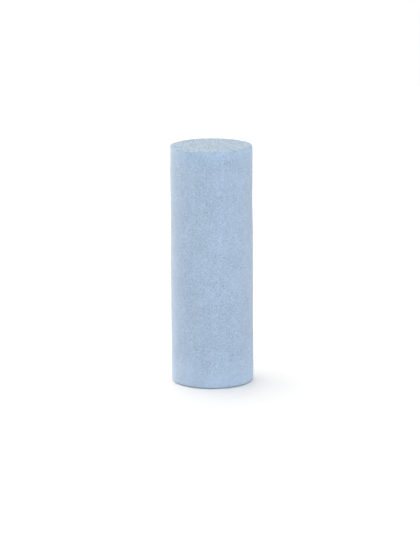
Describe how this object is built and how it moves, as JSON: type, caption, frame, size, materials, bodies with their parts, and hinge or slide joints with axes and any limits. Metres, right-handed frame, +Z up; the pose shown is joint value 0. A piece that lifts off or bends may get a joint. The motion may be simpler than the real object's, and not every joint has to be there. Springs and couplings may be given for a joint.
{
  "type": "cue chalk",
  "caption": "Plain upright cylinder of pressed pale blue cue chalk with flat ends and slightly worn rims, rubbed on a cue's tip for grip.",
  "frame": {"origin": "middle of the base, on the surface that the stick stands on", "axes": "+Z up along the stick's axis, from the base to the upper end; the shape is round, so X and Y are free"},
  "size_m": [0.022, 0.022, 0.0645],
  "materials": {
    "chalk": "matte"
  },
  "bodies": {
    "root": {"chalk_stick": "chalk"}
  },
  "joints": []
}
